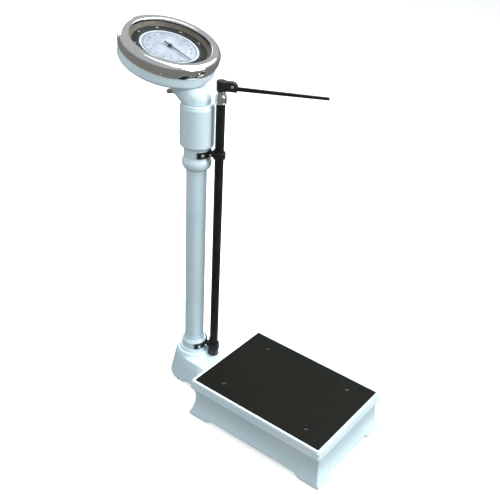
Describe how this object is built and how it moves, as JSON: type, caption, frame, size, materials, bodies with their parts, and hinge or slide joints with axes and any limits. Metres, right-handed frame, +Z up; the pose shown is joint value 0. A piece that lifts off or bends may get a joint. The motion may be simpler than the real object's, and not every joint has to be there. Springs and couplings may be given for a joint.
{
  "type": "dial column person scale",
  "caption": "Free-standing mechanical person scale: low lever base with a mat-covered platform, column, tilted round dial head and telescopic height rod with folding arm.",
  "frame": {"origin": "on the floor, under the middle of the whole scale's bounding box", "axes": "+Z up; +Y from the platform towards the column, the way a person on the platform faces; +X to that person's right"},
  "size_m": [0.2796, 0.6944, 0.9088],
  "materials": {
    "enamel": "gloss",
    "enamel_tube": "gloss",
    "mat_rubber": "matte",
    "pad_rubber": "matte",
    "dark_steel": "satin",
    "cast_grey": "rough",
    "zinc": "satin",
    "spring_steel": "satin",
    "brass": "satin",
    "chrome": "polished",
    "chrome_tube": "polished",
    "bright_screw": "satin",
    "glass": "clear",
    "dial_black": "satin",
    "dial_silver": "satin",
    "pointer_black": "satin",
    "knob_nickel": "polished",
    "black_paint": "satin",
    "black_plastic": "satin"
  },
  "bodies": {
    "stand": {"base_casting": "enamel", "foot_pad_1": "pad_rubber", "foot_pad_2": "pad_rubber", "foot_pad_3": "pad_rubber", "foot_pad_4": "pad_rubber", "foot_pad_5": "pad_rubber", "foot_pad_6": "pad_rubber", "fulcrum_bracket_1": "cast_grey", "fulcrum_bracket_2": "cast_grey", "fulcrum_bracket_3": "cast_grey", "fulcrum_bracket_4": "cast_grey", "spring_1": "spring_steel", "spring_2": "spring_steel", "spring_hanger": "brass", "column_foot": "enamel", "column_bolts": "zinc", "column_tube": "enamel_tube", "column_collar": "enamel", "head_sleeve": "enamel", "sleeve_screws": "zinc", "head_neck": "enamel", "head_case": "enamel", "case_screws": "zinc", "head_bezel": "chrome", "bezel_screws": "bright_screw", "dial_glass": "glass", "dial_ring": "dial_black", "dial_plate": "dial_silver", "movement_frame": "brass", "movement_bridge": "brass", "lower_bracket": "black_paint", "upper_bracket": "black_paint", "bracket_screws": "bright_screw", "rod_tube": "black_paint", "rod_foot_cup": "black_plastic"},
    "platform": {"platform_pan": "enamel", "platform_mat": "mat_rubber", "mat_screws": "dark_steel", "pan_bearings": "cast_grey"},
    "long_lever": {"long_lever": "cast_grey"},
    "short_lever": {"short_lever": "cast_grey"},
    "shackle": {"lever_shackle": "zinc"},
    "draw_rod": {"draw_rod": "zinc", "spring_yoke": "brass"},
    "bell_crank": {"bell_crank": "brass"},
    "rack": {"dial_rack": "brass"},
    "pointer": {"pinion_shaft": "zinc", "dial_pointer": "pointer_black"},
    "zero_knob": {"zero_knob": "knob_nickel"},
    "lower_wing_screw": {"lower_wing_screw": "black_paint"},
    "upper_wing_screw": {"upper_wing_screw": "black_paint"},
    "rod_clamp": {"rod_collar": "chrome"},
    "rod_middle": {"rod_middle": "chrome_tube"},
    "middle_clamp": {"middle_collar": "chrome"},
    "rod_inner": {"rod_inner": "chrome_tube"},
    "headpiece": {"arm_block": "black_plastic", "arm_pivot_screw": "bright_screw"},
    "measuring_arm": {"measuring_arm": "black_paint"}
  },
  "joints": [
    {"name": "platform_travel", "type": "slide", "parent": "stand", "child": "platform", "axis": [0, 0, -1], "range_m": [0, 0.002]},
    {"name": "long_lever_turn", "type": "hinge", "parent": "stand", "child": "long_lever", "pos_m": [0, -0.299, 0.035], "axis": [-1, 0, 0], "range_deg": [0, 3.19]},
    {"name": "short_lever_turn", "type": "hinge", "parent": "stand", "child": "short_lever", "pos_m": [0, 0.001, 0.055], "axis": [1, 0, 0], "range_deg": [0, 3.19]},
    {"name": "shackle_travel", "type": "slide", "parent": "stand", "child": "shackle", "axis": [0, 0, -1], "range_m": [0, 0.00834]},
    {"name": "draw_rod_travel", "type": "slide", "parent": "stand", "child": "draw_rod", "axis": [0, 0, -1], "range_m": [0, 0.02482], "stiffness_N_per_m": 3800, "springref_m": -0.004, "deforming": ["spring_1", "spring_2"]},
    {"name": "bell_crank_turn", "type": "hinge", "parent": "stand", "child": "bell_crank", "pos_m": [0, 0.185, 0.782], "axis": [1, 0, 0], "range_deg": [0, 35.56]},
    {"name": "rack_travel", "type": "slide", "parent": "stand", "child": "rack", "axis": [0, -0.9567, -0.2912], "range_m": [0, 0.0289]},
    {"name": "pointer_turn", "type": "hinge", "parent": "stand", "child": "pointer", "pos_m": [0, 0.2273, 0.8749], "axis": [0, 0.2912, -0.9567], "range_deg": [0, 327.74]},
    {"name": "zero_knob_turn", "type": "hinge", "parent": "stand", "child": "zero_knob", "pos_m": [0, 0.2333, 0.76], "axis": [0, 1, 0], "range_deg": [-720, 720]},
    {"name": "lower_wing_screw_turn", "type": "hinge", "parent": "stand", "child": "lower_wing_screw", "pos_m": [0.01115, 0.1118, 0.0995], "axis": [0.9548, 0.2972, 0], "range_deg": [-90, 90]},
    {"name": "upper_wing_screw_turn", "type": "hinge", "parent": "stand", "child": "upper_wing_screw", "pos_m": [0.01115, 0.1118, 0.6395], "axis": [0.9548, 0.2972, 0], "range_deg": [-90, 90]},
    {"name": "rod_clamp_turn", "type": "hinge", "parent": "stand", "child": "rod_clamp", "pos_m": [0.0165, 0.0946, 0.77], "axis": [0, 0, 1], "range_deg": [0, 360]},
    {"name": "rod_middle_slide", "type": "slide", "parent": "stand", "child": "rod_middle", "axis": [0, 0, 1], "range_m": [0, 0.62]},
    {"name": "middle_clamp_turn", "type": "hinge", "parent": "rod_middle", "child": "middle_clamp", "pos_m": [0.0165, 0.0946, 0.787], "axis": [0, 0, 1], "range_deg": [0, 360]},
    {"name": "rod_inner_slide", "type": "slide", "parent": "rod_middle", "child": "rod_inner", "axis": [0, 0, 1], "range_m": [0, 0.62]},
    {"name": "headpiece_swivel", "type": "hinge", "parent": "rod_inner", "child": "headpiece", "pos_m": [0.0165, 0.0946, 0.8], "axis": [0, 0, 1], "range_deg": [-117.7, 62.3]},
    {"name": "measuring_arm_fold", "type": "hinge", "parent": "headpiece", "child": "measuring_arm", "pos_m": [0.02812, 0.07247, 0.8045], "axis": [0.8854, 0.4648, 0], "range_deg": [0, 90]}
  ],
  "couplings": [
    {"joint": "long_lever_turn", "follows": "platform_travel", "rad_per_m": 27.778},
    {"joint": "short_lever_turn", "follows": "platform_travel", "rad_per_m": 27.778},
    {"joint": "shackle_travel", "follows": "platform_travel", "ratio": 4.1667},
    {"joint": "draw_rod_travel", "follows": "platform_travel", "ratio": 12.406},
    {"joint": "bell_crank_turn", "follows": "platform_travel", "rad_per_m": 310.14},
    {"joint": "rack_travel", "follows": "platform_travel", "ratio": 14.439},
    {"joint": "pointer_turn", "follows": "platform_travel", "rad_per_m": 2859.2}
  ]
}
